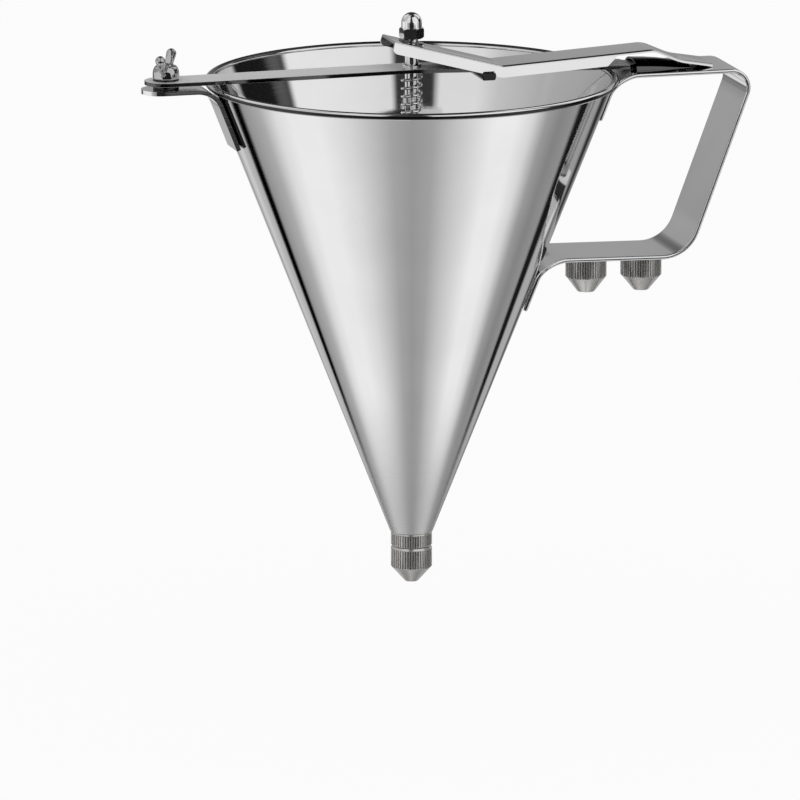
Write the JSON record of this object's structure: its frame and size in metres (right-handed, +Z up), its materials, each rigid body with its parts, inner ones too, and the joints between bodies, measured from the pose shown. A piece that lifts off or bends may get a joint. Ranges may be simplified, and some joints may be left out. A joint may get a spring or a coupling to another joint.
{
  "type": "batter dispenser",
  "caption": "Hand-held sheet-metal funnel with a D handle, a thumb lever that lifts a sprung outlet valve, and screw-on nozzles with spares under the handle.",
  "frame": {"origin": "middle of the hand grip, halfway between its upper and lower corners", "axes": "+X from the funnel to the grip, +Z up along the funnel's axis, +Y to the far side of the picture"},
  "size_m": [0.2845, 0.19, 0.2674],
  "materials": {
    "sheet": "polished stainless sheet with faint spinning lines round the cone",
    "strip": "mirror-polished stainless strip",
    "bar": "lightly brushed stainless strip",
    "machined": "turned stainless, satin, with a fine straight knurl",
    "fastener": "bright stainless fastener",
    "rod": "polished stainless rod",
    "wire": "bright stainless spring wire",
    "seal": "pale food-grade silicone"
  },
  "bodies": {
    "funnel": {"funnel_cone": "sheet", "outlet_ferrule": "machined", "handle_strip": "strip", "spare_stud_inner": "machined", "spare_stud_outer": "machined", "bar_keeper": "strip", "left_bracket": "strip", "clamp_stud": "fastener", "spacer_washer": "fastener", "lock_washer": "fastener", "cross_bar": "bar", "guide_bushing": "fastener", "pivot_pin": "fastener"},
    "thumb_lever": {"lever": "strip"},
    "valve": {"valve_rod": "rod", "valve_plug": "machined", "plug_seal": "seal", "return_spring": "wire", "spring_seat_washer": "fastener", "retaining_clip": "fastener", "cap_washer": "fastener", "cap_nut": "fastener"},
    "clamp_nut": {"wing_nut": "fastener"},
    "fitted_nozzle": {"nozzle_fitted": "machined", "nozzle_gasket": "seal"},
    "spare_nozzle_inner": {"nozzle_spare_inner": "machined"},
    "spare_nozzle_outer": {"nozzle_spare_outer": "machined"}
  },
  "joints": [
    {"name": "lever_press", "type": "hinge", "parent": "funnel", "child": "thumb_lever", "pos_m": [-0.1101, 0, 0.04485], "axis": [0, 1, 0], "range_deg": [-8.5, 0]},
    {"name": "rod_slide", "type": "slide", "parent": "funnel", "child": "valve", "axis": [0, 0, 1], "range_m": [-0.005, 0], "stiffness_N_per_m": 400, "springref_m": -0.01, "deforming": ["return_spring"]},
    {"name": "wing_nut_spin", "type": "hinge", "parent": "funnel", "child": "clamp_nut", "pos_m": [-0.2594, 0, 0.04895], "axis": [0, 0, 1], "continuous": true},
    {"name": "nozzle_spin", "type": "hinge", "parent": "funnel", "child": "fitted_nozzle", "pos_m": [-0.1436, 0, -0.18315], "axis": [0, 0, 1], "continuous": true},
    {"name": "spare_inner_spin", "type": "hinge", "parent": "funnel", "child": "spare_nozzle_inner", "pos_m": [-0.0598, 0, -0.04915], "axis": [0, 0, 1], "continuous": true},
    {"name": "spare_outer_spin", "type": "hinge", "parent": "funnel", "child": "spare_nozzle_outer", "pos_m": [-0.0332, 0, -0.04915], "axis": [0, 0, 1], "continuous": true}
  ],
  "couplings": [
    {"joint": "rod_slide", "follows": "lever_press", "m_per_rad": 0.0335}
  ]
}
